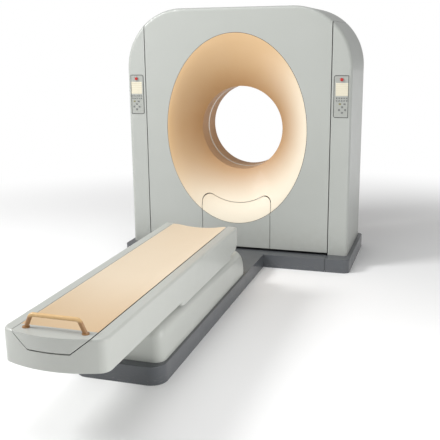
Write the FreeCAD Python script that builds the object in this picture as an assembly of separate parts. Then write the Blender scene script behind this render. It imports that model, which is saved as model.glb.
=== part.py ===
"""CT scanner: a tilting gantry with a turning X-ray rotor, and a patient couch that lifts and slides.

Millimetres. The origin is on the floor straight below the isocentre, which is the point that the rotor
turns about. +X is to the right of someone who stands at the couch's foot end and faces the gantry, +Y runs
along the couch into the bore, and +Z is up. Every named size below is written once, and each piece takes
its place from the pieces that it fits.
"""
import FreeCAD, Part
import math
import os

V = FreeCAD.Vector

# ---- gantry housing ----
ISO_Z = 1108.0  # isocentre above the floor
HOUSE_HALF_W = 940.0
HOUSE_HALF_D = 380.0
HOUSE_TOP = 2085.0
HOUSE_CORNER_R = 480.0  # the round shoulders, seen from the front
HOUSE_EDGE_R = 26.0  # the edge from the front or rear face to the sides and top
COVER_T = 6.0
CENTRE_HALF_W = 776.5  # the tilting centre unit
SIDE_GAP = 7.0  # between the centre unit and each tower
COVER_BOTTOM = 124.0  # lower edge of the tilting covers
COVER_SPLIT = 3.0  # seam between the front and rear covers

# ---- plinth round the gantry's foot ----
PLINTH_H = 109.0
PLINTH_SIDE_STEP = 35.0  # how far the plinth stands out past the housing on each side
PLINTH_FRONT_STEP = 127.0
PLINTH_REAR_STEP = 20.0
PLINTH_HALF_W = HOUSE_HALF_W + PLINTH_SIDE_STEP
PLINTH_FRONT = -HOUSE_HALF_D - PLINTH_FRONT_STEP
PLINTH_REAR = HOUSE_HALF_D + PLINTH_REAR_STEP
PLINTH_CORNER_R = 50.0
PLINTH_T = 5.0
PLINTH_EDGE_R = 4.0
PLINTH_SEAM = 3.0
TROUGH_CLEAR = 12.0  # open slot all round the foot of the tilting covers

# ---- bore and flares ----
BORE_R = 350.0
BORE_HALF_L = 174.0
TUNNEL_T = 4.0
WINDOW_HALF_L = 14.0
WINDOW_T = 2.5
FRONT_RIM = (588.0, 775.0)  # half width and half height of the oval rim
REAR_RIM = (500.0, 620.0)
FLARE_T = 5.0
FLARE_LIP = 5.0
RIM_SEAM = 8.0
FLANGE_W = 26.0
FLARE_PROFILE = ((0.0, 0.0), (0.12, 0.05), (0.5, 0.38), (0.85, 0.79), (1.0, 1.0))  # inward, deep
ACCESS_HALF_W = 298.5
PANEL_SEAM = 4.5
INSERT_DEPTH = 0.38  # share of the flare's width that the removable insert takes
INSERT_CORNER_R = 55.0

# ---- rotor ----
DRUM_R = 690.0
DRUM_BORE_R = 372.0
DRUM_PLATE = (100.0, 120.0)
DRUM_RIM = (-60.0, 14.0)  # front face of the rim, and its wall
FOCUS_R = 541.0  # tube focus from the isocentre
DETECTOR_R = 949.0  # detector from the focus
DETECTOR_T = 50.0
DETECTOR_HALF_DEG = 26.0
TUBE_R = 100.0
BALL_R = 7.0
BALL_CIRCLE_R = 524.0
BALL_COUNT = 60
RACE_GAP = 8.0
RUNNING = 0.05  # radial clearance of a running fit

# ---- stator ----
STATOR_PLATE = (140.0, 170.0)
STATOR_HALF_H = 760.0
STATOR_BORE_R = 430.0
TRUNNION_R = 55.0
MOTOR_AT = (600.0, -640.0)  # drive motor from the isocentre
MOTOR_R = 70.0
PULLEY_R = 45.0
BELT_W = 30.0
BELT_T = 4.0
BELT_CLEAR = 0.3

# ---- towers ----
COLUMN_T = 53.0
COLUMN_HALF_D = 120.0
STEEL_T = 8.0
BLOCK_HALF = 110.0

# ---- control panels on the towers ----
PANEL_INSET = 15.0  # from the housing's side
PANEL_W = 123.0
PANEL_X = (HOUSE_HALF_W - PANEL_INSET - PANEL_W, HOUSE_HALF_W - PANEL_INSET)
PANEL_Z = (1232.0, 1553.0)
PANEL_CORNER_R = 14.0
PANEL_PROUD = 2.0
PATCH_REACH = 60.0  # how far back a panel's outline reaches, past the cover's soft edge
DISPLAY_INSET = 13.0
DISPLAY_W = 96.0
DISPLAY_X = (PANEL_X[0] + DISPLAY_INSET, PANEL_X[0] + DISPLAY_INSET + DISPLAY_W)
DISPLAY_Z = (1399.0, 1498.0)
KEY_PROUD = 1.4
STOP_X = PANEL_X[0] + 59.0
STOP_Z = 1524.0
STOP_R = 13.0
STOP_STEM_R = 6.0
STOP_TRAVEL = 4.0
ARROWS_AT = (PANEL_X[0] + 66.0, 1291.0)

# ---- couch ----
COUCH_HALF_W = 271.0
COUCH_TOP = 535.0
COUCH_BOTTOM = 368.0
COUCH_FAR = -1280.0
COUCH_NEAR = -3435.0
COUCH_BOW = 60.0  # how far the foot end bulges
COUCH_CORNER_R = 60.0
COUCH_EDGE_R = 16.0
COUCH_FAR_R = 70.0  # the lower edge at the far end
SKIRT = (-2390.0, -1400.0)
SKIRT_BOTTOM = 335.0
SHELL_T = 6.0
CHANNEL_TOP_HALF = 208.0
CHANNEL_FLOOR_HALF = 108.0
CHANNEL_FLOOR = 455.0
CRADLE_CLEAR = 4.0
CRADLE_DISH = 22.0
CRADLE_UNDER = 478.0
CRADLE_NEAR = -3320.0
CRADLE_FAR = -1290.0
HANDLE_R = 11.0
HANDLE_HALF_W = 155.0
HANDLE_TOP = 602.0
HANDLE_Y = -3352.0
HANDLE_LEAN = 30.0
CRADLE_TRAVEL = 900.0

# ---- couch foot and lift ----
COUCH_PLINTH_HALF_W = 272.0
COUCH_PLINTH = (-2762.0, -999.0)
COUCH_PLINTH_CORNER_R = 90.0
PEDESTAL_HALF_W = 255.0
PEDESTAL = (-2700.0, -1004.0)
PEDESTAL_TOP = 325.0
PEDESTAL_FAR_R = 195.0  # the long round slope towards the gantry
PEDESTAL_NEAR_R = 80.0
PEDESTAL_EDGE_R = 60.0
PEDESTAL_OPENING = (-2420.0, -1290.0)
PEDESTAL_OPENING_HALF = 150.0
ARM_LENGTH = 600.0
ARM_REST_DEG = 14.5
ARM_HALF_W = 32.0
ARM_X = (115.0, 133.0)
BASE_PIVOTS = (-1350.0, -1750.0)
BASE_PIVOT_Z = 150.0
LIFT_SHAFT_R = 25.0
TOP_PIN_R = 20.0
OPEN_PIVOT_CLEAR = 0.8  # the rear arm's upper pivot, where the linkage is opened
BRACKET_X = (90.0, 110.0)
CHEEK_X = (140.0, 155.0)
ANCHOR_R = 9.0
GANTRY_ANCHORS = (860.0, 250.0)
COUCH_ANCHORS_X = 200.0
COUCH_ANCHORS_Y = (-2600.0, -1150.0)

# ---- cradle drive ----
RAIL_X = 70.0
RAIL_W = 16.0
RAIL_H = 6.0
RAIL_CLEAR = 0.5  # between the rails and the end block that passes over them
RAIL_SPAN = (-3250.0, -1300.0)
CARRIAGES_Y = (-3150.0, -2400.0)
CARRIAGE_L = 100.0
DRIVE_PULLEY_R = 25.0
DRIVE_SPAN = (-2980.0, -1400.0)
DRIVE_Z = 412.0
DRIVE_BELT_T = 3.0
CLAMP_Y = -2900.0


# ---- shared shape makers ----
def box(x0, x1, y0, y1, z0, z1):
    return Part.makeBox(x1 - x0, y1 - y0, z1 - z0, V(x0, y0, z0))


def rod(radius, start, end):
    """A solid cylinder from one point to another."""
    start, end = V(*start), V(*end)
    return Part.makeCylinder(radius, (end - start).Length, start, end - start)


def ring(outer, inner, y0, y1):
    """A flat ring about the bore's axis."""
    return rod(outer, (0, y0, ISO_Z), (0, y1, ISO_Z)).cut(rod(inner, (0, y0, ISO_Z), (0, y1, ISO_Z)))


def face_of(points):
    """A flat face from corner points."""
    return Part.Face(Part.makePolygon([V(*p) for p in points] + [V(*points[0])]))


def oval_wire(half_w, half_h, y):
    """An upright oval, or a circle, about the bore's axis."""
    if abs(half_h - half_w) < 1e-6:
        curve = Part.Circle(V(0, 0, 0), V(0, 0, 1), half_w)
    else:
        curve = Part.Ellipse(V(0, 0, 0), half_h, half_w)
    edge = curve.toShape()
    turn = FreeCAD.Matrix(0, 1, 0, 0, 0, 0, 1, y, 1, 0, 0, ISO_Z, 0, 0, 0, 1)
    return Part.Wire([edge.transformGeometry(turn)])


def oval(half_w, half_h, y0, y1):
    return Part.Face(oval_wire(half_w, half_h, y0)).extrude(V(0, y1 - y0, 0))


def rounded_plan(x0, x1, y0, y1, radii, z0, z1):
    """An upright block with round corners, given as radii at (x0,y0), (x1,y0), (x1,y1) and (x0,y1)."""
    solid = box(x0, x1, y0, y1, z0, z1)
    for (x, y), radius in zip(((x0, y0), (x1, y0), (x1, y1), (x0, y1)), radii):
        if radius:
            solid = solid.makeFillet(radius, upright_edges(solid, x, y))
    return solid


def upright_edges(solid, x, y):
    return [
        e
        for e in solid.Edges
        if abs(e.BoundBox.XLength) < 1e-6
        and abs(e.BoundBox.YLength) < 1e-6
        and abs(e.BoundBox.XMin - x) < 1e-3
        and abs(e.BoundBox.YMin - y) < 1e-3
    ]


def edges_at(solid, axis, value):
    """Edges that lie in the plane where X, Y or Z has a value."""
    low, high = axis + "Min", axis + "Max"
    return [
        e
        for e in solid.Edges
        if abs(getattr(e.BoundBox, low) - value) < 1e-3 and abs(getattr(e.BoundBox, high) - value) < 1e-3
    ]


def both(shape):
    """A shape and its mirror image across the middle plane, as one."""
    return shape.fuse(shape.mirror(V(0, 0, 0), V(1, 0, 0)))


def mirrored(shape):
    return shape.mirror(V(0, 0, 0), V(1, 0, 0))


def joined(shapes):
    out = shapes[0]
    for other in shapes[1:]:
        out = out.fuse(other)
    return out.removeSplitter()


def save(name, shape):
    """Writes one sub-part as a STEP file named after it."""
    solids = shape.Solids
    if not solids or any(s.Volume <= 0 or not s.isValid() for s in solids):
        raise ValueError(name + " is not made of valid solids")
    out = solids[0] if len(solids) == 1 else Part.makeCompound(solids)
    out.exportStep(os.path.join("parts", name + ".step"))
    print(f"{name:24s} {len(solids):3d} solid(s) {shape.Volume / 1e6:10.2f} litres")


# ---- the housing's outer form ----
def housing(inset):
    """The gantry's outer form, shrunk by an inset: an arch with round shoulders and soft edges."""
    w = HOUSE_HALF_W - inset
    top = HOUSE_TOP - inset
    r = HOUSE_CORNER_R - inset
    y0 = -HOUSE_HALF_D + inset
    foot = -300.0
    s = math.sqrt(0.5) * r
    edges = [
        Part.LineSegment(V(-w, y0, foot), V(-w, y0, top - r)),
        Part.Arc(V(-w, y0, top - r), V(-w + r - s, y0, top - r + s), V(-w + r, y0, top)),
        Part.LineSegment(V(-w + r, y0, top), V(w - r, y0, top)),
        Part.Arc(V(w - r, y0, top), V(w - r + s, y0, top - r + s), V(w, y0, top - r)),
        Part.LineSegment(V(w, y0, top - r), V(w, y0, foot)),
        Part.LineSegment(V(w, y0, foot), V(-w, y0, foot)),
    ]
    solid = Part.Face(Part.Wire([e.toShape() for e in edges])).extrude(V(0, -2 * y0, 0))
    soft = [
        e
        for e in edges_at(solid, "Y", y0) + edges_at(solid, "Y", -y0)
        if e.BoundBox.ZMax > foot + 1
    ]
    return solid.makeFillet(HOUSE_EDGE_R - inset, soft)


HOUSE = housing(0)
HOUSE_IN = housing(COVER_T)
TOWER_IN = CENTRE_HALF_W + SIDE_GAP
BIG = 3000.0


# ---- flares ----
def flare_sections(rim, grow, sign):
    """Oval sections from the rim to the round throat, grown outwards by the wall."""
    depth = HOUSE_HALF_D - BORE_HALF_L
    out = []
    for inward, deep in FLARE_PROFILE:
        half_w = rim[0] + (BORE_R - rim[0]) * inward + grow
        half_h = rim[1] + (BORE_R - rim[1]) * inward + grow
        back = min(grow, FLARE_LIP) if deep else 0.0
        out.append((half_w, half_h, sign * (HOUSE_HALF_D - depth * deep - back)))
    return out


def flare(rim, sign):
    """A funnel of even wall from the cover's rim to the bore, with a flange behind the cover."""
    outer = Part.makeLoft([oval_wire(*s) for s in flare_sections(rim, FLARE_T, sign)], True)
    inner = Part.makeLoft([oval_wire(*s) for s in flare_sections(rim, 0.0, sign)], True)
    end = sign * (BORE_HALF_L - FLARE_LIP)
    throat = oval(BORE_R, BORE_R, sign * (BORE_HALF_L + 1), end)
    behind = sign * (HOUSE_HALF_D - COVER_T)
    flange = oval(rim[0] + FLANGE_W, rim[1] + FLANGE_W, behind, behind - sign * FLARE_T)
    return outer.fuse(flange).cut(inner).cut(throat)


def insert_prism(gap):
    """What the flare's removable lower insert takes, widened by a gap: straight sides, and a top edge that
    follows the bore, with round corners."""
    half_w = ACCESS_HALF_W + gap
    rim_w = FRONT_RIM[0] + (BORE_R - FRONT_RIM[0]) * INSERT_DEPTH - gap
    rim_h = FRONT_RIM[1] + (BORE_R - FRONT_RIM[1]) * INSERT_DEPTH - gap
    y0, y1 = -HOUSE_HALF_D - 10, -BORE_HALF_L
    block = box(-half_w, half_w, y0, y1, 0, ISO_Z).cut(oval(rim_w, rim_h, y0, y1))
    sharp = [
        e
        for e in block.Edges
        if abs(e.BoundBox.XLength) < 1e-6
        and abs(e.BoundBox.ZLength) < 1e-6
        and abs(abs(e.BoundBox.XMin) - half_w) < 1e-3
        and e.BoundBox.ZMin > 100
        and e.BoundBox.ZMin < ISO_Z - 100
    ]
    return block.makeFillet(INSERT_CORNER_R, sharp)


# ---- covers of the tilting centre unit ----
def centre_half(y0, y1, rim, y_face):
    """One cover of the centre unit: outer skin, side walls and floor, with the flare's hole and half of
    each trunnion hole."""
    zone = box(-CENTRE_HALF_W, CENTRE_HALF_W, y0, y1, COVER_BOTTOM, BIG)
    hollow = box(
        -CENTRE_HALF_W + COVER_T, CENTRE_HALF_W - COVER_T, -BIG, BIG, COVER_BOTTOM + COVER_T, BIG
    ).common(HOUSE_IN)
    cover = HOUSE.common(zone).cut(hollow)
    cover = cover.cut(oval(rim[0] + RIM_SEAM, rim[1] + RIM_SEAM, y_face - 20, y_face + 20))
    return cover.cut(rod(TRUNNION_R + 15, (-BIG, 0, ISO_Z), (BIG, 0, ISO_Z)))


def access_zone(gap):
    return box(
        -ACCESS_HALF_W - gap, ACCESS_HALF_W + gap, -HOUSE_HALF_D - 10, -HOUSE_HALF_D + 60, 0, ISO_Z - 200
    )


front_whole = centre_half(-BIG, -COVER_SPLIT / 2, FRONT_RIM, -HOUSE_HALF_D)
front_cover = front_whole.cut(access_zone(0))
access_panel = front_whole.common(access_zone(-PANEL_SEAM))
rear_cover = centre_half(COVER_SPLIT / 2, BIG, REAR_RIM, HOUSE_HALF_D)

front_flare_whole = flare(FRONT_RIM, -1)
front_flare = front_flare_whole.cut(insert_prism(PANEL_SEAM / 2))
flare_insert = front_flare_whole.common(insert_prism(-PANEL_SEAM / 2))
rear_flare = flare(REAR_RIM, 1)

tunnel_end = BORE_HALF_L - FLARE_LIP
bore_tunnel = ring(BORE_R + TUNNEL_T, BORE_R, -tunnel_end, -WINDOW_HALF_L).fuse(
    ring(BORE_R + TUNNEL_T, BORE_R, WINDOW_HALF_L, tunnel_end)
)
scan_window = ring(BORE_R + WINDOW_T, BORE_R, -WINDOW_HALF_L, WINDOW_HALF_L)


# ---- rotor ----
def rotor_drum():
    """A turned plate with a rim that the drive belt runs on."""
    plate = ring(DRUM_R, DRUM_BORE_R, *DRUM_PLATE)
    rim = ring(DRUM_R, DRUM_R - DRUM_RIM[1], DRUM_RIM[0], DRUM_PLATE[0])
    return joined([plate, rim])


def detector_array():
    """An arc of even radius about the tube's focus."""
    y0, y1 = -40.0, DRUM_PLATE[0]
    focus = (0, y0, ISO_Z + FOCUS_R)
    arc = rod(DETECTOR_R + DETECTOR_T, focus, (0, y1, ISO_Z + FOCUS_R))
    arc = arc.cut(rod(DETECTOR_R, focus, (0, y1, ISO_Z + FOCUS_R)))
    reach = 2 * DETECTOR_R
    half = math.radians(DETECTOR_HALF_DEG)
    x, z = reach * math.sin(half), reach * math.cos(half)
    top = ISO_Z + FOCUS_R
    wedge = face_of([(0, y0, top), (-x, y0, top - z), (x, y0, top - z)]).extrude(V(0, y1 - y0, 0))
    return arc.common(wedge)


def xray_tube():
    """The tube's oil-filled housing, with end caps and two high-voltage sockets."""
    y0, y1 = -150.0, DRUM_PLATE[0]
    z = ISO_Z + FOCUS_R
    body = rod(TUBE_R, (0, y0 + 20, z), (0, y1, z))
    cap = rod(TUBE_R - 12, (0, y0, z), (0, y0 + 20, z))
    sockets = [rod(20, (x, y0 + 60, z), (x, y0 + 60, z + TUBE_R + 14)) for x in (-45.0, 45.0)]
    return joined([body, cap] + sockets)


def collimator():
    """The beam-shaping box, saddled on the tube's housing."""
    z = ISO_Z + FOCUS_R
    block = box(-90, 90, -60, 60, ISO_Z + 386, z - TUBE_R + 30)
    block = block.cut(rod(TUBE_R, (0, -BIG, z), (0, BIG, z)))
    return block.cut(box(-70, 70, -10, 10, ISO_Z + 380, ISO_Z + 410))


def finned_box(x0, x1, half_h, y0):
    """A cast box on the drum plate with cooling fins on its front."""
    y1 = DRUM_PLATE[0]
    body = box(x0, x1, y0 + 14, y1, ISO_Z - half_h, ISO_Z + half_h)
    fins = [
        box(x0 + 8 + i * 22, x0 + 14 + i * 22, y0, y0 + 14, ISO_Z - half_h + 10, ISO_Z + half_h - 10)
        for i in range(int((x1 - x0 - 16) // 22) + 1)
    ]
    return joined([body] + fins)


def groove(y):
    return Part.makeTorus(BALL_CIRCLE_R, BALL_R + RUNNING, V(0, y, ISO_Z), V(0, 1, 0))


ball_y = (DRUM_PLATE[1] + STATOR_PLATE[0]) / 2
inner_r = BALL_CIRCLE_R - RACE_GAP / 2
outer_r = BALL_CIRCLE_R + RACE_GAP / 2
bearing_inner = ring(inner_r, inner_r - 50, DRUM_PLATE[1], STATOR_PLATE[0] - 1).cut(groove(ball_y))
bearing_outer = ring(outer_r + 46, outer_r, DRUM_PLATE[1] + 1, STATOR_PLATE[0]).cut(groove(ball_y))
balls = [
    Part.makeSphere(
        BALL_R,
        V(
            BALL_CIRCLE_R * math.cos(2 * math.pi * i / BALL_COUNT),
            ball_y,
            ISO_Z + BALL_CIRCLE_R * math.sin(2 * math.pi * i / BALL_COUNT),
        ),
    )
    for i in range(BALL_COUNT)
]
slip_ring = ring(660, 606, DRUM_PLATE[1], DRUM_PLATE[1] + 14)
for track in range(3):
    inner_edge = 612 + track * 16
    slip_ring = slip_ring.cut(ring(inner_edge + 10, inner_edge, DRUM_PLATE[1] + 10, DRUM_PLATE[1] + 14))


# ---- stator: the tilting frame ----
def stator_frame():
    """A welded plate with side posts and the two trunnion pins that the gantry tilts on."""
    half_w = CENTRE_HALF_W - COVER_T
    y0, y1 = STATOR_PLATE
    cut = 250.0
    low, high = ISO_Z - STATOR_HALF_H, ISO_Z + STATOR_HALF_H
    w = half_w - 5
    plate = face_of(
        [
            (-w + cut, y0, low),
            (w - cut, y0, low),
            (w, y0, low + cut),
            (w, y0, high - cut),
            (w - cut, y0, high),
            (-w + cut, y0, high),
            (-w, y0, high - cut),
            (-w, y0, low + cut),
        ]
    ).extrude(V(0, y1 - y0, 0))
    plate = plate.cut(rod(STATOR_BORE_R, (0, y0, ISO_Z), (0, y1, ISO_Z)))
    post = box(DRUM_R + 16, half_w, -70, y1, ISO_Z - 170, ISO_Z + 170)
    pin = rod(TRUNNION_R, (half_w, 0, ISO_Z), (TOWER_IN + STEEL_T + COLUMN_T + 53, 0, ISO_Z))
    return joined([plate, both(post.fuse(pin))])


def loop_belt(a, b, ra, rb, thickness, depth, plane):
    """An open belt round two pulleys: two arcs and two tangent runs, as thick as said. The plane gives how
    a flat point (u, v) and the belt's width direction lie in space."""
    span = math.hypot(b[0] - a[0], b[1] - a[1])
    along = math.atan2(b[1] - a[1], b[0] - a[0])
    lean = math.acos((ra - rb) / span)

    def wire(grow):
        ca, cb = ra + grow, rb + grow

        def at(centre, radius, angle):
            return plane(centre[0] + radius * math.cos(angle), centre[1] + radius * math.sin(angle))

        a1, a2 = at(a, ca, along + lean), at(a, ca, along - lean)
        b1, b2 = at(b, cb, along + lean), at(b, cb, along - lean)
        return Part.Wire(
            [
                Part.Arc(a1, at(a, ca, along + math.pi), a2).toShape(),
                Part.LineSegment(a2, b2).toShape(),
                Part.Arc(b2, at(b, cb, along), b1).toShape(),
                Part.LineSegment(b1, a1).toShape(),
            ]
        )

    return Part.Face(wire(thickness)).extrude(depth).cut(Part.Face(wire(0)).extrude(depth))


motor_x, motor_z = MOTOR_AT[0], ISO_Z + MOTOR_AT[1]
belt_y0 = DRUM_RIM[0] + 10
belt_y1 = belt_y0 + BELT_W
shaft_r = 10.0
drive_belt = loop_belt(
    (0, ISO_Z),
    (motor_x, motor_z),
    DRUM_R + BELT_CLEAR,
    PULLEY_R + BELT_CLEAR,
    BELT_T,
    V(0, BELT_W, 0),
    lambda u, v: V(u, belt_y0, v),
)
motor_y0 = belt_y1 + 20
motor_pulley = joined(
    [
        rod(PULLEY_R, (motor_x, belt_y0 - 2, motor_z), (motor_x, belt_y1 + 2, motor_z)),
        rod(PULLEY_R + 4, (motor_x, belt_y0 - 6, motor_z), (motor_x, belt_y0 - 2, motor_z)),
        rod(PULLEY_R + 4, (motor_x, belt_y1 + 2, motor_z), (motor_x, belt_y1 + 6, motor_z)),
        rod(shaft_r, (motor_x, belt_y1, motor_z), (motor_x, motor_y0 + 60, motor_z)),
    ]
)
drive_motor = joined(
    [
        rod(MOTOR_R, (motor_x, motor_y0, motor_z), (motor_x, STATOR_PLATE[0] - 12, motor_z)),
        box(
            motor_x - MOTOR_R,
            motor_x + MOTOR_R,
            STATOR_PLATE[0] - 12,
            STATOR_PLATE[0],
            motor_z - MOTOR_R,
            motor_z + MOTOR_R,
        ),
    ]
).cut(rod(shaft_r + RUNNING, (motor_x, motor_y0, motor_z), (motor_x, motor_y0 + 62, motor_z)))


# ---- base and towers ----
def gantry_base():
    """A welded floor frame: plate, side beams under the towers, a front beam and a low rear beam. The middle
    is an open trough that the tilting covers swing through."""
    top = PLINTH_H - PLINTH_T
    y0, y1 = PLINTH_FRONT + 37, HOUSE_HALF_D - 10
    plate = box(-HOUSE_HALF_W + 10, HOUSE_HALF_W - 10, y0, y1, 0, 20)
    beam = box(TOWER_IN, HOUSE_HALF_W - 10, y0, y1, 20, top)
    beam = beam.cut(box(TOWER_IN + STEEL_T, HOUSE_HALF_W - 10 - STEEL_T, y0 - 1, y1 + 1, 20, top - STEEL_T))
    front = box(-TOWER_IN, TOWER_IN, y0, -HOUSE_HALF_D - 20, 20, top)
    front = front.cut(box(-BIG, BIG, y0 + STEEL_T, -HOUSE_HALF_D - 20 - STEEL_T, 20, top - STEEL_T))
    rear = box(-TOWER_IN, TOWER_IN, y1 - 50, PLINTH_REAR - PLINTH_T, 20, 70)
    base = joined([plate, both(beam), front, rear])
    for x in (-GANTRY_ANCHORS[0], GANTRY_ANCHORS[0]):
        for y in (-GANTRY_ANCHORS[1], GANTRY_ANCHORS[1]):
            base = base.cut(rod(ANCHOR_R, (x, y, -1), (x, y, 30)))
            base = base.cut(rod(ANCHOR_R + 12, (x, y, 60), (x, y, top + 1)))
    return base


def tower_frame():
    """The right tower's steel: an inner side plate and a box column up to the tilt bearing."""
    foot = PLINTH_H - PLINTH_T
    plate = HOUSE_IN.common(box(TOWER_IN, TOWER_IN + STEEL_T, -BIG, BIG, foot, BIG))
    plate = plate.cut(rod(TRUNNION_R + 20, (0, 0, ISO_Z), (BIG, 0, ISO_Z)))
    x0 = TOWER_IN + STEEL_T
    x1 = x0 + COLUMN_T
    column = box(x0, x1, -COLUMN_HALF_D, COLUMN_HALF_D, foot, ISO_Z - BLOCK_HALF)
    inside = box(
        x0 - 1,
        x1 - STEEL_T,
        -COLUMN_HALF_D + STEEL_T,
        COLUMN_HALF_D - STEEL_T,
        foot - 1,
        ISO_Z - BLOCK_HALF - STEEL_T,
    )
    return joined([plate, column.cut(inside)])


def tower_cover():
    zone = box(TOWER_IN, BIG, -BIG, BIG, PLINTH_H, BIG)
    cover = HOUSE.cut(HOUSE_IN).common(zone)
    hole = rod(STOP_STEM_R + 1, (STOP_X, -HOUSE_HALF_D - 5, STOP_Z), (STOP_X, -HOUSE_HALF_D + 20, STOP_Z))
    return cover.cut(hole)


def pillow_block():
    x0 = TOWER_IN + STEEL_T
    block = box(x0, x0 + COLUMN_T, -BLOCK_HALF, BLOCK_HALF, ISO_Z - BLOCK_HALF, ISO_Z + BLOCK_HALF)
    corners = [
        e
        for e in block.Edges
        if e.BoundBox.XLength > 1 and e.BoundBox.ZMin > ISO_Z
    ]
    block = block.makeFillet(60, corners)
    return block.cut(rod(TRUNNION_R + RUNNING, (x0 - 1, 0, ISO_Z), (x0 + COLUMN_T + 1, 0, ISO_Z)))


def tilt_gearmotor():
    """The worm gearbox on the right trunnion's end, with its motor hanging below."""
    x0 = TOWER_IN + STEEL_T + COLUMN_T
    x1 = x0 + 53
    gearbox = box(x0, x1, -95, 95, ISO_Z - 95, ISO_Z + 95)
    x = (x0 + x1) / 2
    motor = rod(26, (x, 55, ISO_Z - 95), (x, 55, ISO_Z - 320))
    unit = joined([gearbox, motor])
    return unit.cut(rod(TRUNNION_R + RUNNING, (x0 - 1, 0, ISO_Z), (x1 + 1, 0, ISO_Z)))


def plinth_shell():
    """The dark skirting round the gantry's foot: an upright skin with a deck, open over the frame."""
    r = PLINTH_CORNER_R
    outer = rounded_plan(
        -PLINTH_HALF_W, PLINTH_HALF_W, PLINTH_FRONT, PLINTH_REAR, (r, r, r, r), 0, PLINTH_H
    )
    outer = outer.makeFillet(PLINTH_EDGE_R, edges_at(outer, "Z", PLINTH_H))
    t = PLINTH_T
    ri = r - t
    inner = rounded_plan(
        -PLINTH_HALF_W + t,
        PLINTH_HALF_W - t,
        PLINTH_FRONT + t,
        PLINTH_REAR - t,
        (ri, ri, ri, ri),
        -1,
        PLINTH_H - t,
    )
    under = COVER_T
    re = HOUSE_EDGE_R - under
    towers = rounded_plan(
        -HOUSE_HALF_W + under,
        HOUSE_HALF_W - under,
        -HOUSE_HALF_D + under,
        HOUSE_HALF_D - under,
        (re, re, re, re),
        0,
        BIG,
    )
    trough = box(
        -TOWER_IN,
        TOWER_IN,
        -HOUSE_HALF_D - TROUGH_CLEAR,
        HOUSE_HALF_D + TROUGH_CLEAR,
        0,
        BIG,
    )
    return outer.cut(inner).cut(towers).cut(trough)


# ---- control panels ----
def conform(x0, x1, z0, z1, radius, low, high):
    """A patch that follows the tower's front skin: all of the skin's offset from low to high that lies
    behind a round-cornered rectangle."""
    block = box(x0, x1, -HOUSE_HALF_D - 20, -HOUSE_HALF_D + PATCH_REACH, z0, z1)
    if radius:
        block = block.makeFillet(radius, [e for e in block.Edges if e.BoundBox.YLength > 50])
    return housing(-high).cut(housing(-low)).common(block)


def control_panel():
    """A moulded panel with a window for its display and raised membrane keys."""
    panel = conform(*PANEL_X, *PANEL_Z, PANEL_CORNER_R, 0, PANEL_PROUD)
    window = box(
        *DISPLAY_X, -HOUSE_HALF_D - 20, -HOUSE_HALF_D + PATCH_REACH, *DISPLAY_Z
    )
    panel = panel.cut(window)
    keys = []
    for row in range(2):
        for column in range(5):
            x = DISPLAY_X[0] + 2 + column * 19.5
            z = DISPLAY_Z[0] - 18 - row * 20
            keys.append((x, x + 13, z - 6, z + 6))
    ax, az = ARROWS_AT
    keys += [(ax - 28, ax - 8, az + 38, az + 52), (ax + 8, ax + 28, az + 38, az + 52)]
    for dx, dz in ((0, 22), (0, -22), (-24, 0), (24, 0)):
        keys.append((ax + dx - 9, ax + dx + 9, az + dz - 9, az + dz + 9))
    skin = housing(-PANEL_PROUD - KEY_PROUD).cut(housing(-PANEL_PROUD + 0.5))
    pads = [
        skin.common(box(x0, x1, -HOUSE_HALF_D - 20, -HOUSE_HALF_D + PATCH_REACH, z0, z1))
        for x0, x1, z0, z1 in keys
    ]
    panel = joined([panel] + pads)
    return panel.cut(
        rod(STOP_STEM_R + 1, (STOP_X, -HOUSE_HALF_D - 5, STOP_Z), (STOP_X, -HOUSE_HALF_D + 20, STOP_Z))
    )


def stop_button():
    """A mushroom button on a stem that slides through the panel and the cover."""
    face = -HOUSE_HALF_D - PANEL_PROUD - STOP_TRAVEL - 1
    head = rod(STOP_R, (STOP_X, face - 7, STOP_Z), (STOP_X, face, STOP_Z))
    head = head.makeFillet(4, edges_at(head, "Y", face - 7))
    stem = rod(STOP_STEM_R, (STOP_X, face, STOP_Z), (STOP_X, -HOUSE_HALF_D + COVER_T + 16, STOP_Z))
    return joined([head, stem])


def stop_guide():
    """The switch body behind the cover that the button's stem slides in."""
    y0 = -HOUSE_HALF_D + COVER_T
    body = box(STOP_X - 16, STOP_X + 16, y0, y0 + 30, STOP_Z - 16, STOP_Z + 16)
    body = body.cut(HOUSE.cut(HOUSE_IN))
    return body.cut(rod(STOP_STEM_R + RUNNING, (STOP_X, y0 - 1, STOP_Z), (STOP_X, y0 + 26, STOP_Z)))


# ---- couch top ----
def couch_plan(inset):
    """The couch body's outline from above: parallel sides, a square far end and a bowed foot end."""
    w = COUCH_HALF_W - inset
    near = COUCH_NEAR + inset
    far = COUCH_FAR - inset
    corner = near + COUCH_BOW
    edges = [
        Part.LineSegment(V(w, corner, 0), V(w, far, 0)),
        Part.LineSegment(V(w, far, 0), V(-w, far, 0)),
        Part.LineSegment(V(-w, far, 0), V(-w, corner, 0)),
        Part.Arc(V(-w, corner, 0), V(0, near, 0), V(w, corner, 0)),
    ]
    return Part.Face(Part.Wire([e.toShape() for e in edges]))


def couch_block(inset):
    """The couch body as a closed block: its plan with round foot corners, and a round lower far edge."""
    z0, z1 = COUCH_BOTTOM + inset, COUCH_TOP - inset
    block = couch_plan(inset)
    block.translate(V(0, 0, z0))
    block = block.extrude(V(0, 0, z1 - z0))
    w = COUCH_HALF_W - inset
    near = COUCH_NEAR + inset + COUCH_BOW
    corners = upright_edges(block, w, near) + upright_edges(block, -w, near)
    block = block.makeFillet(COUCH_CORNER_R - inset, corners)
    far = COUCH_FAR - inset
    lower = [e for e in edges_at(block, "Y", far) if abs(e.BoundBox.ZMax - z0) < 1e-3]
    return block.makeFillet(COUCH_FAR_R - inset, lower)


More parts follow.
